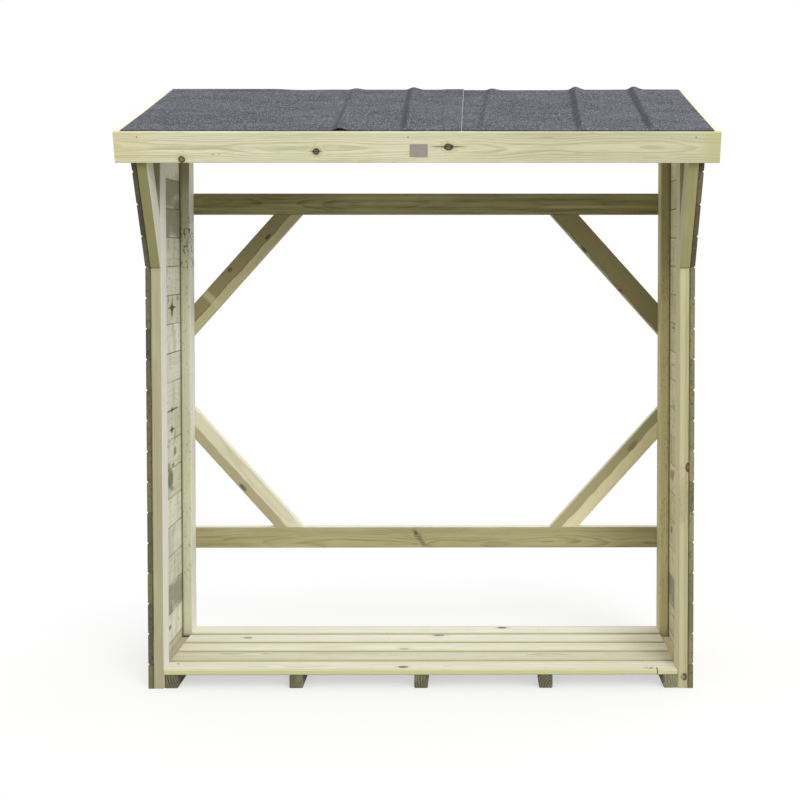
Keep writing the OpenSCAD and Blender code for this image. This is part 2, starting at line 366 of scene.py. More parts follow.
    def crack(self, point, half_length, half_width, share, colour=KNOT_RIM, toward=None):
        """A dark split along the grain or a blot, through the stick or on the faces that look one way."""
        at = self.turn @ (Vector(point) - self.centre)
        across = 1 / half_width
        weights = {"a": (0.0, across, 1 / half_length), "b": (across, 0.0, 1 / half_length)}
        ragged = self.bench.vector("ADD", self.flat, self.bench.scale(FRAYED, self.fine))
        offset = self.bench.vector("SUBTRACT", ragged, at)
        scaled = self.bench.vector("MULTIPLY", offset, weights[self.thin])
        near = self.bench.vector("LENGTH", scaled, out="Value")
        self.layer(self.bench.ease(near, 1.0, 0.5) * share, colour, toward)

    def end_grain(self, colour, share):
        self.layer(self.end * share * (0.75 + 0.5 * self.fine), colour)

    def two_tone(self, start, end, colour, share, line):
        """A band of darker or paler wood along one side, with a dark line between two places."""
        bench = self.bench
        sides = bench.node("ShaderNodeSeparateXYZ", None, {"Vector": self.flat})
        edge = sides + (bench.noise(self.moved, (30, 30, 15), 3.0) - 0.5) * 0.016
        self.layer(bench.ease(edge, start, end) * share, colour)
        apart = bench.maths("ABSOLUTE", edge - (start + end) / 2)
        self.layer(bench.ease(apart, 0.0035, 0.0005) * line, KNOT_RIM)

    def mould(self, low, high, share, colour=MOULD, size=1.0, spread=0.5, toward=None):
        """Small dark specks between two heights of the frame, over a larger or smaller part."""
        bench = self.bench
        z = bench.node("ShaderNodeSeparateXYZ", None, {"Vector": self.where}, "Z")
        middle = (low + high) / 2
        half = (high - low) / 2
        within = bench.ease(bench.maths("ABSOLUTE", z - middle), half, half * 0.6)
        specks = bench.ease(bench.noise(self.moved, (170 / size, 170 / size, 85 / size), 3.0), 0.52, 0.66)
        patches = bench.ease(bench.noise(self.moved, (40, 40, 11), 2.0), 0.9 - spread, 1.1 - spread)
        self.layer(within * specks * patches * share, colour, toward)

    def finish(self, rough=0.62):
        roughness = rough + 0.12 * self.fine
        material = self.bench.surface(self.colour, roughness, self.height, 0.0004)
        dress(self.name, material)


def dress(node, material):
    """Gives a node's object one material in all its slots."""
    for slot in nodes[node].material_slots:
        slot.material = material


def pine(node, lie, thin, pale, deep, spots=(), knot_strength=1.0, end=None, end_share=0.6, **habits):
    """A plain stick of pine, with its named knots and a few stray ones."""
    stick = Stick(node, lie, thin)
    for spot in spots:
        stick.spot_knot(*spot)
    stick.stray_knots(*STRAY_KNOTS)
    stick.grain(srgb(*pale), srgb(*deep), **habits)
    stick.paint_knots(knot_strength)
    if end:
        stick.end_grain(srgb(*end), end_share)
    return stick


# Floor slats, counted from the front
SLAT_TONES = {
    1: ((244, 241, 225), (212, 208, 182)), 2: ((235, 231, 212), (196, 191, 162)),
    3: ((249, 244, 229), (222, 216, 191)), 4: ((250, 246, 233), (229, 223, 200)),
    5: ((250, 247, 234), (229, 224, 203)),
}
SLAT_FIGURE = {1: 0.55, 2: 0.9, 3: 0.6, 4: 0.55, 5: 0.5}
# Painted shade on the slats' front and back faces, darkest in the gaps between slats and lighter on the
# front slat's front face
SLAT_SIDE_SHADE = srgb(122, 114, 68)
FRONT_SLAT_SHADE = srgb(216, 213, 168)
# Painted shade along the rounded front and back edges of the slats' tops: tone and half width
SLAT_RIM_SHADE = srgb(190, 186, 130)
SLAT_RIM_SHADE_W = 0.014
# Short cracks of the front slat: place across, depth, half length and half width
SLAT_CRACKS = [
    (0.788, 0.010, 0.0036, 0.018), (0.764, 0.012, 0.0130, 0.0036), (0.770, 0.020, 0.0080, 0.0060),
    (0.752, 0.024, 0.0110, 0.0032),
]
# Knots of the slats: place across, depth, radius and stretch
SLAT_KNOTS = {
    1: [(-0.061, 0.030, 0.0075, 1.9)],
    3: [(-0.068, 0.235, 0.008, 1.9)],
    4: [(-0.639, 0.369, 0.008, 1.6), (0.049, 0.399, 0.0085, 2.2)],
    5: [(0.280, 0.495, 0.008, 2.0)],
}
SLAT_KNOT_STRENGTH = {1: 1.0, 2: 1.0, 3: 0.35, 4: 0.65, 5: 1.0}
slat_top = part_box("floor_slat_1")[1].z
# Floor bearers, counted from the left
BEARER_TONE = ((126, 122, 94), (62, 58, 40))
PALE_BEARER_TONE = ((158, 156, 122), (92, 90, 64))
PALE_BEARER = 5


def dress_floor():
    for number in range(1, 6):
        knots = [((x, front_y + y, slat_top), radius, long)
                 for x, y, radius, long in SLAT_KNOTS.get(number, ())]
        slat = pine(f"floor_slat_{number}", ALONG_X, "a", *SLAT_TONES[number], knots,
                    knot_strength=SLAT_KNOT_STRENGTH[number], figure=SLAT_FIGURE[number], ring=0.006,
                    streak=0.7, end=(170, 162, 120))
        # Painted shade on the slat's front and back faces
        slat.facing(TO_FRONT, FRONT_SLAT_SHADE if number == 1 else SLAT_SIDE_SHADE, 0.8)
        slat.facing(TO_BACK, SLAT_SIDE_SHADE, 0.8)
        low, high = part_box(slat.name)
        # Painted shade along the rounded edges of the slat's top
        for rim in (low.y, high.y):
            slat.stripe(TO_BACK, rim, SLAT_RIM_SHADE_W, SLAT_RIM_SHADE, 0.55)
        if number == 1:
            for x, y, reach, half in SLAT_CRACKS:
                slat.crack((x, front_y + y, slat_top), reach, half, 0.8)
        slat.finish()
        tones = PALE_BEARER_TONE if number == PALE_BEARER else BEARER_TONE
        bearer = pine(f"floor_bearer_{number}", ALONG_Y, "a", *tones, figure=1.3, ring=0.009,
                      end=(98, 95, 73), end_share=0.15)
        bearer.finish(0.7)


left_wall_x = -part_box("right_wall_boards")[0].x
back_post_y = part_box("left_back_post")[0].y
WALL_TONES = {
    "left": (srgb(246, 245, 229), srgb(204, 202, 173)),
    "right": (srgb(240, 232, 195), srgb(202, 192, 145)),
}
WALL_STAIN = srgb(162, 162, 128)
OUTER_FACE = srgb(208, 202, 164)
# Boards that are darker than the rest, counted up from the first joint
DARK_BOARDS = {"left": (1, 14, 15), "right": (1,)}
DARK_BOARD = srgb(140, 133, 109)
# Pale board of the left wall: its middle, half its height and its tone
PALE_BOARD = (1.765, 0.055, srgb(252, 251, 240))
# Knots of the boards: depth, height, radius and stretch
WALL_KNOTS = {
    "left_wall_boards": [
        (0.304, 1.257, 0.009, 1.6), (0.292, 0.897, 0.005, 2.0),
        (0.290, 0.827, 0.006, 2.0), (0.238, 0.137, 0.007, 2.0),
    ],
}
# Star-shaped marks, drips and blots of the inner faces: depth, height, half length, half height and share
GREY_BLOT = srgb(62, 64, 50)
WALL_BLOTS = {
    "left_wall_boards": [
        (0.304, 1.257, 0.090, 0.0040, 0.80), (0.302, 1.250, 0.024, 0.0380, 0.80),
        (0.304, 1.257, 0.042, 0.0120, 0.75), (0.245, 1.290, 0.010, 0.0180, 0.60),
        (0.312, 1.286, 0.009, 0.0200, 0.60), (0.385, 1.290, 0.012, 0.0160, 0.55),
        (0.300, 0.897, 0.110, 0.0040, 0.80), (0.292, 0.897, 0.014, 0.0150, 0.70),
        (0.290, 0.827, 0.055, 0.0045, 0.75), (0.290, 0.827, 0.022, 0.0170, 0.75),
        (0.335, 0.800, 0.016, 0.0300, 0.35), (0.335, 0.745, 0.026, 0.0220, 0.65),
        (0.300, 0.700, 0.030, 0.0080, 0.60), (0.262, 0.655, 0.054, 0.0450, 0.72),
        (0.236, 0.700, 0.034, 0.0220, 0.50), (0.290, 0.618, 0.030, 0.0100, 0.50),
        (0.225, 0.775, 0.016, 0.0060, 0.60),
    ],
    "right_wall_boards": [
        (0.371, 0.651, 0.055, 0.0240, 0.55), (0.330, 0.668, 0.030, 0.0120, 0.45),
        (0.352, 1.182, 0.040, 0.0060, 0.55), (0.300, 0.150, 0.120, 0.0050, 0.50),
        (0.350, 1.050, 0.030, 0.0050, 0.55), (0.330, 0.905, 0.050, 0.0040, 0.50),
    ],
}
# Painted shadow on the boards along the gap beside the back post: its middle, half its width and its tone
BACK_POST_GAP_SHADOW = (back_post_y - 0.005, 0.018, srgb(74, 70, 48))
JOINT_DIRT = srgb(62, 58, 40)
JOINT_DIRT_W = 0.0030
# Sawn ends of the boards, from the darkest board to the palest
SAWN_ENDS = {
    "left_wall_boards": (srgb(54, 49, 28), srgb(106, 101, 66)),
    "left_flared_boards": (srgb(52, 46, 27), srgb(94, 87, 57)),
    "right_wall_boards": (srgb(98, 92, 60), srgb(138, 132, 93)),
    "right_flared_boards": (srgb(66, 59, 38), srgb(106, 98, 67)),
}
SAWN_SPECKS = srgb(44, 38, 24)
# Painted shadow on the boards' sawn front ends, along the gap to the post: tone and half width
CLAD_END_GAP_SHADOW = srgb(40, 36, 22)
CLAD_END_GAP_SHADOW_W = 0.0050
# Lowest and highest place of mould that lies all over a piece
ALL_OVER = (-1.0, 3.0)
BATTEN_TONES = {
    "left": ((214, 203, 178), (172, 160, 134)),
    "right": ((232, 226, 188), (200, 192, 148)),
}


def inward_of(side):
    """The direction from one side's wall into the store."""
    return TO_RIGHT if side == "left" else TO_LEFT


def dress_boards(side, part):
    """The boards of one wall, or those of its flared part."""
    inward = inward_of(side)
    outward = TO_LEFT if side == "left" else TO_RIGHT
    boards = Stick(f"{side}_{part}_boards", ALONG_Y, "a")
    boards.courses(Vector(UPWARD), FIRST_JOINT, BOARD_PITCH)
    for y, z, radius, long in WALL_KNOTS.get(boards.name, ()):
        boards.spot_knot((left_wall_x, front_y + y, z), radius, long)
    boards.stray_knots(*WALL_STRAY_KNOTS)
    boards.grain(*WALL_TONES[side], figure=0.2, ring=0.008, streak=0.6)
    boards.paint_knots(0.8)
    boards.stains(WALL_STAIN, 0.45)
    boards.marked_rows(DARK_BOARDS[side], DARK_BOARD, 0.80, inward)
    boards.mould(*ALL_OVER, 0.3, size=1.7)
    boards.facing(outward, OUTER_FACE, 0.45)
    if side == "left":
        boards.stripe(UPWARD, *PALE_BOARD, 0.6, inward)
    for y, z, reach, half, share in WALL_BLOTS.get(boards.name, ()):
        boards.crack((left_wall_x, front_y + y, z), reach, half, share, GREY_BLOT, inward)
    # Painted shadow where the boards meet the back post
    boards.stripe(TO_BACK, *BACK_POST_GAP_SHADOW, 0.75, inward)
    boards.joint_lines(JOINT_DIRT, JOINT_DIRT_W, 0.75)
    boards.end_grain(boards.bench.mix(boards.luck, *SAWN_ENDS[boards.name]), 0.95)
    boards.mould(*ALL_OVER, 0.6, SAWN_SPECKS, 1.4, 0.5, TO_FRONT)
    # Painted shadow on the sawn front ends beside the post
    boards.stripe(TO_RIGHT, inward[0] * left_wall_x, CLAD_END_GAP_SHADOW_W, CLAD_END_GAP_SHADOW, 0.7, TO_FRONT)
    boards.finish(0.68)


def dress_walls():
    for side in ("left", "right"):
        for part in ("wall", "flared"):
            dress_boards(side, part)
        batten = pine(f"{side}_bottom_batten", ALONG_Y, "a", *BATTEN_TONES[side])
        batten.finish(0.7)


batten_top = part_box("left_bottom_batten")[1].z
right_post_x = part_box("right_front_post")[0].x
FRONT_POST_TONES = {
    "left": ((186, 180, 147), (152, 145, 108)),
    "right": ((188, 183, 146), (156, 149, 108)),
}
BRACE_TONES = {
    "left": ((162, 158, 110), (124, 119, 74)),
    "right": ((176, 170, 121), (138, 132, 82)),
}
BACK_POST_TONES = {
    "left": ((222, 222, 194), (186, 184, 150)),
    "right": ((234, 225, 174), (190, 180, 128)),
}
POST_INNER = {"left": srgb(247, 244, 238), "right": srgb(222, 216, 178)}
BACK_POST_INNER = {"left": srgb(247, 244, 238), "right": srgb(200, 193, 146)}
POST_KNOTS = {
    "left": [],
    "right": [((0.8757, front_y, 0.038), 0.0105, 1.1, "b"), ((0.8870, front_y, 0.739), 0.0080, 1.8, "b")],
}
# Stripes on the posts' front faces, painted shade among them: direction, middle, half width, tone and share
POST_STRIPES_AND_SHADE = {
    "left_front_post": [],
    "right_front_post": [
        (TO_RIGHT, right_post_x, 0.003, srgb(128, 120, 62), 0.60),
        (TO_RIGHT, right_post_x + 0.012, 0.011, srgb(210, 205, 164), 0.35),
        (UPWARD, 0.62, 0.10, srgb(160, 154, 112), 0.50),
    ],
    "left_back_post": [
        # Painted shade at the top of the post, under the roof
        (UPWARD, 1.80, 0.16, srgb(132, 126, 88), 0.65),
        (UPWARD, 1.47, 0.12, srgb(206, 216, 184), 0.35),
        # Painted shadow at the post's foot, just below the batten's top
        (UPWARD, batten_top - 0.010, 0.014, srgb(46, 42, 48), 0.85),
    ],
    # Painted shade over the upper part of the post, under the roof
    "right_back_post": [(UPWARD, 1.65, 0.50, srgb(128, 120, 76), 0.55)],
}
# Mould on the posts: lowest and highest place, share, tone, size of the specks and spread
POST_MOULD = {
    "left_front_post": [],
    "right_front_post": [(0.50, 0.78, 0.35, srgb(100, 98, 62), 0.8, 0.5)],
    "left_back_post": [(1.36, 1.60, 0.85, srgb(60, 76, 50), 1.6, 1.0), (0.0, 1.80, 0.35)],
    "right_back_post": [(0.0, 1.80, 0.35)],
}


def weather_and_shade_post(post):
    """Stripes, painted shade and mould over a post's finish."""
    # Stripes and painted shade on the front faces
    for stripe in POST_STRIPES_AND_SHADE[post.name]:
        post.stripe(*stripe, TO_FRONT)
    for patch in POST_MOULD[post.name]:
        post.mould(*patch)


def dress_posts():
    for side in ("left", "right"):
        inward = inward_of(side)
        post = pine(f"{side}_front_post", ALONG_Z, "a", *FRONT_POST_TONES[side], POST_KNOTS[side],
                    figure=0.3, end=(150, 142, 100))
        post.facing(inward, POST_INNER[side], 0.8)
        weather_and_shade_post(post)
        post.finish()
        post = pine(f"{side}_back_post", ALONG_Z, "a", *BACK_POST_TONES[side], figure=0.35,
                    end=(130, 124, 90))
        post.facing(inward, BACK_POST_INNER[side], 0.7)
        weather_and_shade_post(post)
        post.finish(0.66)
        brace = pine(f"{side}_knee_brace", UP_BRACE, "a", *BRACE_TONES[side], figure=0.35,
                     end=(120, 112, 70))
        brace.facing(inward, POST_INNER[side], 0.7)
        brace.finish()


# Slanting knot of the lower rail: place across, height, half length, half height and share
RAIL_KNOT = [
    (-0.046, 0.420, 0.012, 0.0090, 0.35), (-0.040, 0.411, 0.010, 0.0085, 0.65),
    (-0.034, 0.402, 0.013, 0.0110, 0.30), (-0.027, 0.391, 0.014, 0.0120, 0.30),
    (-0.019, 0.380, 0.013, 0.0120, 0.35), (-0.012, 0.369, 0.011, 0.0110, 0.40),
]
RAIL_KNOT_MIDDLE = (-0.033, back_y, 0.400)
# Painted light: the lower rail's upper face paler, as lit from above
RAIL_TOP_LIGHT = srgb(248, 246, 230)


def dress_rails():
    rail = pine("upper_back_rail", ALONG_X, "b", (182, 174, 126), (106, 98, 62), figure=0.3, streak=1.6,
                blotch=1.0, end=(96, 90, 60))
    rail.finish(0.66)
    swirl = [(RAIL_KNOT_MIDDLE, 0.012, 1.3)]
    rail = pine("lower_back_rail", ALONG_X, "b", (184, 177, 134), (138, 130, 90), swirl, knot_strength=0.15,
                streak=0.9, end=(130, 124, 90))
    for x, z, reach, half, share in RAIL_KNOT:
        rail.crack((x, back_y, z), reach, half, share)
    # Painted light on the rail's upper face
    rail.facing(UPWARD, RAIL_TOP_LIGHT, 0.85)
    rail.finish(0.66)


diagonal_run = math.cos(DIAGONAL_SLOPE)
diagonal_rise = math.sin(DIAGONAL_SLOPE)
HEARTWOOD = srgb(132, 122, 81)
PALE_HEARTWOOD = srgb(160, 152, 112)
# Diagonals: lie, pale tone, deep tone, and the band of heartwood with its start, end, tone, share and line
DIAGONALS = {
    "upper_left_diagonal": (UP_RIGHT, (206, 200, 158), (170, 162, 122),
                            (-0.0295, -0.0345, HEARTWOOD, 0.8, 0.45)),
    "upper_right_diagonal": (UP_LEFT, (196, 190, 146), (160, 152, 110),
                             (0.0050, 0.0100, HEARTWOOD, 0.8, 0.45)),
    "lower_left_diagonal": (UP_LEFT, (232, 226, 200), (200, 193, 162),
                            (-0.043, -0.048, PALE_HEARTWOOD, 0.8, 0.12)),
    "lower_right_diagonal": (UP_RIGHT, (244, 236, 198), (208, 198, 156),
                             (0.0365, 0.0315, PALE_HEARTWOOD, 0.85, 0.15)),
}
# Painted light: a pale band of light across the upper left diagonal: direction, middle, half width, tone
# and share
DIAGONAL_LIGHT_BAND = ((diagonal_run, 0.0, diagonal_rise), 0.421, 0.020, srgb(204, 198, 160), 0.55)
# Dark smudges of the diagonals: place across, height, half length, half width and share
DIAGONAL_SMUDGES = {
    "upper_left_diagonal": [(-0.724, 1.388, 0.012, 0.0100, 0.6), (-0.583, 1.510, 0.018, 0.0080, 0.7)],
    "upper_right_diagonal": [(0.583, 1.464, 0.020, 0.0070, 0.7), (0.718, 1.313, 0.012, 0.0050, 0.6)],
    "lower_left_diagonal": [(-0.680, 0.583, 0.024, 0.0085, 0.7)],
    "lower_right_diagonal": [(0.764, 0.735, 0.034, 0.0130, 0.35)],
}
# Painted light on the upper sides of the lower diagonals, paler as lit from above: direction, tone and
# share
DIAGONAL_TOPS_LIGHT = {
    "lower_left_diagonal": ((diagonal_rise, 0.0, diagonal_run), srgb(246, 243, 224), 0.7),
    "lower_right_diagonal": ((-diagonal_rise, 0.0, diagonal_run), srgb(246, 242, 214), 0.75),
}


def dress_diagonals():
    for name, (lie, pale, deep, band) in DIAGONALS.items():
        stick = pine(name, lie, "b", pale, deep)
        stick.two_tone(*band)
        if name == "upper_left_diagonal":
            # Painted light across the diagonal
            stick.stripe(*DIAGONAL_LIGHT_BAND)
        for x, z, reach, half, share in DIAGONAL_SMUDGES[name]:
            stick.crack((x, back_y, z), reach, half, share)
        # Painted light on the diagonal's upper side
        if name in DIAGONAL_TOPS_LIGHT:
            stick.facing(*DIAGONAL_TOPS_LIGHT[name])
        stick.finish(0.66)


# Knots of the fascia: place across, height, radius and stretch
FASCIA_KNOTS = [(-0.740, 1.743, 0.010, 1.0), (-0.318, 1.767, 0.009, 1.2), (0.0976, 1.781, 0.010, 1.4)]
# Streaks, splits and flame marks of the fascia: place across, height, half length, half height and share
FASCIA_FLAWS = [
    (-0.318, 1.767, 0.028, 0.0022, 0.80), (0.0976, 1.781, 0.072, 0.0026, 0.80),
    (-0.640, 1.757, 0.008, 0.0016, 0.60), (-0.622, 1.758, 0.005, 0.0016, 0.50),
    (0.167, 1.797, 0.040, 0.0016, 0.22), (0.324, 1.788, 0.050, 0.0016, 0.20),
    (0.406, 1.810, 0.030, 0.0016, 0.30), (0.250, 1.770, 0.045, 0.0016, 0.18),
]
# Shaded stretches of the fascia: middle, half width, tone and share
FASCIA_GREY = (0.65, 0.60, srgb(236, 236, 232), 0.8)
FASCIA_ENDS = [
    (roof_low.x, 0.16, srgb(206, 200, 138), 0.35),
    (roof_high.x, 0.08, srgb(188, 184, 128), 0.65),
]
DECK_TONES = (srgb(206, 200, 164), srgb(166, 158, 116))


def dress_fascia():
    knots = [((x, roof_low.y, z), radius, long) for x, z, radius, long in FASCIA_KNOTS]
    fascia = pine("front_fascia", ALONG_X, "b", (230, 226, 196), (190, 184, 142), knots,
                  end=(196, 190, 136), figure=0.6, fibre=1.0, streak=0.9)
    fascia.stripe(TO_RIGHT, *FASCIA_GREY, blend="MULTIPLY")
    for stretch in FASCIA_ENDS:
        fascia.stripe(TO_RIGHT, *stretch)
    for x, z, reach, half, share in FASCIA_FLAWS:
        fascia.crack((x, roof_low.y, z), reach, half, share)
    fascia.finish()


def dress_roof():
    dress_fascia()
    pine("back_fascia", ALONG_X, "b", (222, 216, 180), (186, 178, 134), end=(190, 184, 130)).finish()
    for side in ("left", "right"):
        pine(f"{side}_bargeboard", UP_ROOF, "a", (246, 243, 228), (222, 216, 188)).finish()
    for place in ("left", "middle", "right"):
        pine(f"{place}_roof_batten", UP_ROOF, "a", (200, 194, 150), (160, 152, 108)).finish()
    boards = Stick("roof_boards", ALONG_X, "a")
    boards.courses(up_slope, eaves.dot(up_slope) + TRIM_T, DECK_PITCH)
    boards.stray_knots(*DECK_STRAY_KNOTS)
    boards.grain(*DECK_TONES)
    boards.paint_knots()
    boards.finish()


# Tones of the felt, and how fine its grains are
FELT_DARK = srgb(67, 68, 75)
FELT_PALE = srgb(86, 87, 94)
FELT_GRIT = srgb(160, 161, 170)
FELT_PITS = srgb(66, 67, 74)
FELT_CUT = srgb(44, 43, 44)
# Painted shade for the ripples' flanks that face left
FELT_FLANK_SHADE = srgb(48, 49, 53)
# Painted highlight along the upper strip's edge at the lap
FELT_LAP_HIGHLIGHT = srgb(176, 177, 184)
GRAINS_PER_M = 380.0

# Side lap of the felt: from the right strip's edge below to the left strip's edge above
lap_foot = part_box("right_felt")[0].x
lap_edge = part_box("left_felt")[1].x
LAP_SET_BACK = 0.02
LAP_RAMP = 0.03
LAP_GAP = 0.0004
# How far in from the upper strip's edge its painted highlight runs
LAP_HIGHLIGHT_IN = 0.0015


def felt_finish():
    bench = Bench(bpy.data.materials.new("mineral_felt"))
    place = bench.node("ShaderNodeTexCoord", None, None, "Object")
    grit = bench.node("ShaderNodeTexVoronoi", {"voronoi_dimensions": "3D", "feature": "F1"},
                      {"Vector": place, "Scale": GRAINS_PER_M}, "Color")
    luck = bench.node("ShaderNodeSeparateXYZ", None, {"Vector": grit})
    crowd = bench.noise(place, (60, 60, 60), 3.0)
    streaks = bench.noise(place, (4, 13, 13), 3.0)
    colour = bench.mix(bench.ease(streaks, 0.32, 0.68), FELT_DARK, FELT_PALE)
    colour = bench.mix(bench.ease(luck.out("Y") + crowd * 0.4, 0.95, 1.1) * 0.8, colour, FELT_GRIT)
    colour = bench.mix(bench.ease(luck, 0.3, 0.18) * 0.55, colour, FELT_PITS)
    cut = bench.vector("DOT_PRODUCT", place.out("Normal"), -up_slope, "Value")
    colour = bench.mix(bench.ease(cut, 0.6, 0.8) * 0.9, colour, FELT_CUT)
    # Painted shade on the faces that tilt to the left, the ripples' left flanks
    left_flank = bench.vector("DOT_PRODUCT", place.out("Normal"), TO_LEFT, "Value")
    colour = bench.mix(bench.ease(left_flank, 0.05, 0.45) * 0.55, colour, FELT_FLANK_SHADE)
    across = bench.node("ShaderNodeSeparateXYZ", None, {"Vector": place})
    # Painted highlight along the upper strip's edge at the lap
    to_lap = bench.maths("ABSOLUTE", across - (lap_edge - LAP_HIGHLIGHT_IN))
    colour = bench.mix(bench.ease(to_lap, 0.0020, 0.0008) * 0.6, colour, FELT_LAP_HIGHLIGHT)
    height = grit.out("Distance") * -1.0 + crowd * 0.3
    return bench.surface(colour, 0.88, height, 0.0010)


def add_piece(name, shape, material):
    """Turns a finished bmesh into a piece of the store."""
    mesh = bpy.data.meshes.new(name)
    shape.to_mesh(mesh)
    shape.free()
    mesh.materials.append(material)
    piece = bpy.data.objects.new(name, mesh)
    bpy.context.scene.collection.objects.link(piece)
    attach(piece, "root")
    return piece


# Ripples of the felt: crest at the eaves and at the back, height at the eaves, up the slope and at the back
RIPPLES = {
    "left": [(-0.246, -0.257, 0.0085, 0.0080, 0.0050), (-0.032, -0.046, 0.0015, 0.0095, 0.0085)],
    "right": [(0.205, 0.243, 0.0006, 0.0070, 0.0060), (0.520, 0.548, 0.0010, 0.0110, 0.0115),
              (0.744, 0.763, 0.0010, 0.0110, 0.0110)],
}
RIPPLE_LEFT = 0.034
RIPPLE_RIGHT = 0.048
RIPPLE_PEAK = 1.6
NAILED_DOWN = 0.07
# How the felt lifts along its back edge: place across and height
BACK_WAVE = [
    (-1.0, 0.0042), (-0.56, 0.0042), (-0.46, 0.0004), (-0.34, 0.0018), (0.04, 0.0018), (0.09, 0.0002),
    (0.17, 0.0002), (0.45, 0.0), (0.60, 0.0018), (0.80, 0.0030), (1.0, 0.0030),
]
FELT_UNEVEN = 0.0008
FELT_STEP = 0.004
FELT_ROWS = 40
FELT_SHARP = math.radians(40)


def back_lift(x):
    """Lift of the felt at its back edge, eased from one place of the wave to the next."""
    for (left, low), (right, high) in zip(BACK_WAVE, BACK_WAVE[1:]):
        if left <= x <= right:
            share = (x - left) / (right - left)
            return low + (high - low) * share * share * (3 - 2 * share)
    return 0.0


def felt_height(side, x, climb):
    """Height of the felt's underside over the deck, climb running from 0 at the eaves to 1."""
    height = FELT_UNEVEN + FELT_UNEVEN * noise.noise(Vector((x * 5, climb * 3, 4.0)))
    height += back_lift(x) * climb ** 3
    for eaves_x, back_x, low, middle, high in RIPPLES[side]:
        offset = x - (eaves_x + (back_x - eaves_x) * climb)
        share = offset / (RIPPLE_LEFT if offset < 0 else RIPPLE_RIGHT)
        freed = min(climb / NAILED_DOWN, 1.0)
        crest = low + (middle + (high - middle) * climb - low) * freed
        if abs(share) < 1:
            height += crest * ((1 + math.cos(math.pi * share)) / 2) ** RIPPLE_PEAK
    return max(height, 0.0)


def add_felt(side, material):
    """One strip of felt, laid up the slope from the fascia with its ripples."""
    low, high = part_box(f"{side}_felt")
    columns = round((high.x - low.x) / FELT_STEP)
    start = TRIM_T + FELT_LIFT
    length = roof_length - start
    shape = bmesh.new()
    bmesh.ops.create_grid(shape, x_segments=columns, y_segments=FELT_ROWS, size=0.5)
    for vert in shape.verts:
        x = low.x + (vert.co.x + 0.5) * (high.x - low.x)
        climb = vert.co.y + 0.5
        height = felt_height(side, x, climb)
        if side == "left":
            share = min(max((x - lap_foot + LAP_RAMP) / LAP_RAMP, 0), 1)
            height += (FELT_T + LAP_GAP) * share * min(climb / LAP_SET_BACK, 1)
        along = start + climb * length
        if side == "right" and x < lap_edge:
            along = start + (LAP_SET_BACK + climb * (1 - LAP_SET_BACK)) * length
        point = eaves + up_slope * along + off_slope * (height + FELT_T - FELT_LIFT)
        vert.co = (x, point.y, point.z)
    bmesh.ops.recalc_face_normals(shape, faces=shape.faces)
    if shape.faces[0].normal.z < 0:
        bmesh.ops.reverse_faces(shape, faces=shape.faces)
    bmesh.ops.solidify(shape, geom=list(shape.faces), thickness=FELT_T)
    piece = add_piece(f"{side}_felt_strip", shape, material)
    for face in piece.data.polygons:
        face.use_smooth = True
    piece.data.set_sharp_from_angle(angle=FELT_SHARP)
    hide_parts(f"{side}_felt")


def steel_finish(name, clean, stained):
    bench = Bench(bpy.data.materials.new(name))
    place = bench.node("ShaderNodeTexCoord", None, None, "Object")
    stain = bench.noise(place, (300, 300, 300), 3.0)
    colour = bench.mix(bench.ease(stain, 0.35, 0.7), srgb(*clean), srgb(*stained))
    return bench.surface(colour, 0.45 + 0.25 * stain, stain, 0.0003, 0.6)


def plate_finish():
    bench = Bench(bpy.data.materials.new("plate_lacquer"))
    place = bench.node("ShaderNodeTexCoord", None, None, "Object")
    brushed = bench.noise(place, (40, 900, 900), 3.0)
    clouds = bench.noise(place, (60, 60, 60), 2.0)
    colour = bench.mix(brushed * 0.5 + clouds * 0.5, srgb(168, 158, 152), srgb(138, 128, 122))
    return bench.surface(colour, 0.4 + 0.2 * brushed, brushed, 0.0001)


# Heads of nails and screws: radius, and how far they stand proud
FASCIA_NAIL = (0.0028, 0.0004)
SLAT_SCREW = (0.0028, 0.0001)
WALL_NAIL = (0.003, 0.0003)
RAIL_SCREW = (0.0036, 0.0003)
HEAD_SIDES = 10
HEAD_TAPER = 0.8
HEAD_SUNK = 0.001
# Places of the fascia's nails, and their distance below its upper edge
FASCIA_NAILS_X = (-0.876, -0.029, 0.871)
FASCIA_NAIL_DROP = 0.015
WALL_ROWS = range(-1, 17)


def add_heads(name, places, normal, head, material):
    """Nails or screws of one kind on faces that look one way, as low cones that stand a little proud."""
    radius, proud = head
    outward = Vector(normal)
    turn = outward.to_track_quat("Z", "Y").to_matrix().to_4x4()
    shape = bmesh.new()
    for place in places:
        middle = Vector(place) + outward * (proud / 2 - HEAD_SUNK / 2)
        bmesh.ops.create_cone(shape, cap_ends=True, segments=HEAD_SIDES, radius1=radius,
                              radius2=radius * HEAD_TAPER, depth=proud + HEAD_SUNK,
                              matrix=Matrix.Translation(middle) @ turn)
    add_piece(name, shape, material)


def part_way(low, high, share):
    """A place between two others, as a share of the way."""
    return low + share * (high - low)


def slat_screw_places():
    for number in range(1, 6):
        slat_low, slat_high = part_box(f"floor_slat_{number}")
        for bearer in range(1, 6):
            low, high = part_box(f"floor_bearer_{bearer}")
            for share in (0.25, 0.75):
                yield (low.x + high.x) / 2, part_way(slat_low.y, slat_high.y, share), slat_high.z


def wall_nail_places(side, wall_x):
    for row in WALL_ROWS:
        foot = max(FIRST_JOINT + row * BOARD_PITCH, 0.0)
        top = FIRST_JOINT + (row + 1) * BOARD_PITCH
        for post in ("front", "back"):
            low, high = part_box(f"{side}_{post}_post")
            for share in (0.28, 0.72):
                yield wall_x, (low.y + high.y) / 2, part_way(foot, top, share)


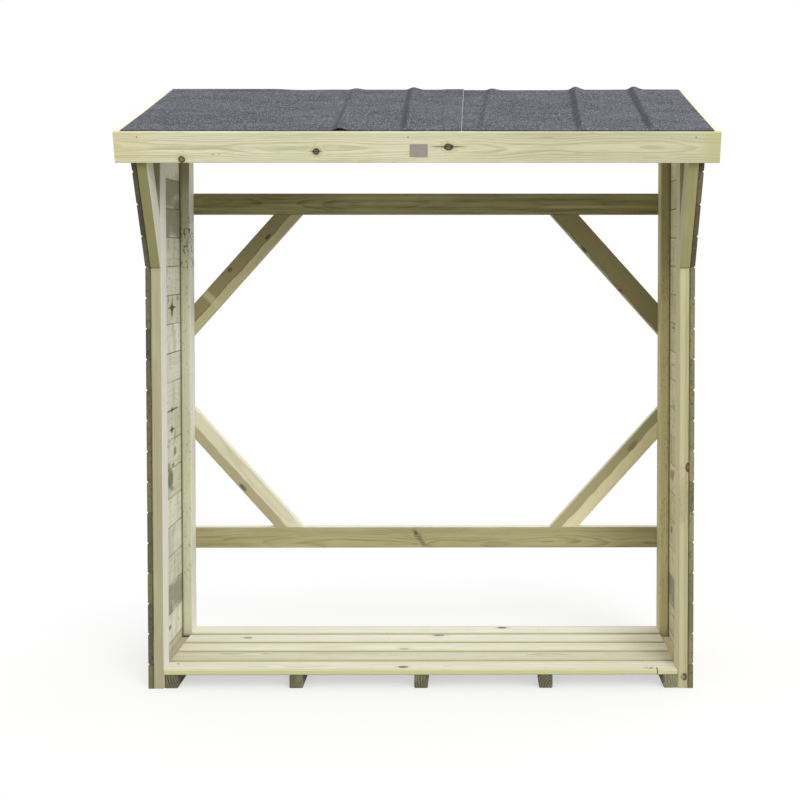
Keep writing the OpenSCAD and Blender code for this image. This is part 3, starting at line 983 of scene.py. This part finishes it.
def rail_screw_places():
    for rail in ("lower_back_rail", "upper_back_rail"):
        low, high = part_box(rail)
        for side in ("left", "right"):
            post_low, post_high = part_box(f"{side}_back_post")
            for share in (0.25, 0.75):
                yield (post_low.x + post_high.x) / 2, high.y, part_way(low.z, high.z, share)


def add_fasteners(dull, bright):
    """Nails of the fascia and the cladding, and screws of the floor and the back frame."""
    nails = [eaves - off_slope * FASCIA_NAIL_DROP + Vector((x, 0, 0)) for x in FASCIA_NAILS_X]
    add_heads("fascia_nails", nails, -up_slope, FASCIA_NAIL, dull)
    add_heads("slat_screws", slat_screw_places(), UPWARD, SLAT_SCREW, bright)
    for side, outward in (("left", TO_LEFT), ("right", TO_RIGHT)):
        nails = wall_nail_places(side, outward[0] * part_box("right_wall_boards")[1].x)
        add_heads(f"{side}_wall_nails", nails, outward, WALL_NAIL, dull)
    add_heads("rail_screws", rail_screw_places(), TO_BACK, RAIL_SCREW, dull)


# Bare plate on the fascia: its middle, size, thickness and corners
PLATE_X = 0.004
PLATE_DROP = 0.0575
PLATE_W = 0.056
PLATE_H = 0.041
PLATE_T = 0.0016
PLATE_CORNER = 0.003


def add_plate(material):
    middle = eaves + Vector((PLATE_X, 0, 0)) - off_slope * PLATE_DROP - up_slope * (PLATE_T / 2)
    turn = Matrix.Rotation(ROOF_PITCH, 4, "X")
    size = Matrix.Diagonal((PLATE_W, PLATE_T, PLATE_H, 1.0))
    shape = bmesh.new()
    bmesh.ops.create_cube(shape, size=1.0, matrix=Matrix.Translation(middle) @ turn @ size)
    corners = [edge for edge in shape.edges
               if abs((edge.verts[0].co - edge.verts[1].co).normalized().dot(up_slope)) > 0.9]
    bmesh.ops.bevel(shape, geom=corners, offset=PLATE_CORNER, offset_type="OFFSET", segments=3,
                    profile=0.5, affect="EDGES", material=-1)
    add_piece("fascia_plate", shape, material)


# Studio: a white sky, one large lamp over the right shoulder and a pale round floor
KEY_PLACE = (4.2, -9.5, 6.9)
KEY_AIM = (0, 0, 0.9)
KEY_SIZE = 6.0
KEY_POWER = 680
FLOOR_RADIUS = 14.0
FLOOR_SIDES = 64
FLOOR_FOR_LIGHT = (0.38, 0.38, 0.37, 1)
FLOOR_FOR_EYES = (0.90, 0.90, 0.89, 1)
WHITE = (1, 1, 1, 1)


def make_sky():
    """A sky that looks white and lights the store a little more from above, the right and the front."""
    world = bpy.data.worlds.new("studio")
    bpy.context.scene.world = world
    bench = Bench(world)
    seen = bench.seen()
    way = bench.node("ShaderNodeTexCoord", None, None, "Generated")
    across = bench.node("ShaderNodeSeparateXYZ", None, {"Vector": way})
    level = 0.66 + bench.ease(across.out("Z"), -0.1, 0.9) * 0.26 + bench.ease(across, -1.0, 1.0) * 0.10
    level = level + bench.ease(across.out("Y"), 1.0, -1.0) * 0.10
    strength = level * (1 - seen) + seen
    back = bench.node("ShaderNodeBackground", None, {"Color": WHITE, "Strength": strength})
    bench.node("ShaderNodeOutputWorld", None, {"Surface": back})


def hang_lamp():
    key = bpy.data.lights.new("key", "AREA")
    key.shape = "DISK"
    key.size = KEY_SIZE
    key.energy = KEY_POWER
    lamp = bpy.data.objects.new("key", key)
    lamp.location = KEY_PLACE
    aim = Vector(KEY_AIM) - lamp.location
    lamp.rotation_euler = aim.to_track_quat("-Z", "Y").to_euler()
    bpy.context.scene.collection.objects.link(lamp)


def lay_floor():
    """A floor that takes the store's soft shadow and turns white around it."""
    shape = bmesh.new()
    bmesh.ops.create_circle(shape, cap_ends=True, segments=FLOOR_SIDES, radius=FLOOR_RADIUS)
    mesh = bpy.data.meshes.new("studio_floor")
    shape.to_mesh(mesh)
    shape.free()
    bench = Bench(bpy.data.materials.new("pale_floor"))
    place = bench.node("ShaderNodeTexCoord", None, None, "Object")
    away = bench.vector("LENGTH", bench.vector("MULTIPLY", place, (0.8, 1.0, 0)), out="Value")
    seen = bench.seen()
    shade = bench.mix(seen, FLOOR_FOR_LIGHT, FLOOR_FOR_EYES)
    matt = bench.node("ShaderNodeBsdfDiffuse", None, {"Color": shade})
    white = bench.node("ShaderNodeEmission", None, {"Color": WHITE, "Strength": 1.0})
    share = (0.56 + bench.ease(away, 0.7, 1.6) * 0.44) * seen
    mixed = bench.node("ShaderNodeMixShader", None, {0: share, 1: matt, 2: white})
    bench.node("ShaderNodeOutputMaterial", None, {"Surface": mixed})
    mesh.materials.append(bench.owner)
    floor = bpy.data.objects.new("studio_floor", mesh)
    bpy.context.scene.collection.objects.link(floor)


def place_camera():
    data = bpy.data.cameras.new("camera")
    data.sensor_width = SENSOR_MM
    data.lens = FOCAL_PX / FRAME_PX * SENSOR_MM
    data.shift_x, data.shift_y = CAMERA_SHIFT
    camera = bpy.data.objects.new("camera", data)
    camera.location = (CAMERA_X, front_y - CAMERA_BACK, CAMERA_HEIGHT)
    camera.rotation_euler = (math.pi / 2 - CAMERA_PITCH, 0.0, CAMERA_YAW)
    bpy.context.scene.collection.objects.link(camera)
    bpy.context.scene.camera = camera


bpy.context.scene.view_settings.view_transform = "Standard"
place_camera()
make_sky()
hang_lamp()
lay_floor()
dress_floor()
dress_walls()
dress_posts()
dress_rails()
dress_diagonals()
dress_roof()
felt = felt_finish()
add_felt("left", felt)
add_felt("right", felt)
add_fasteners(steel_finish("dull_steel", (92, 88, 78), (62, 54, 42)),
              steel_finish("zinc_steel", (222, 217, 196), (196, 188, 160)))
add_plate(plate_finish())
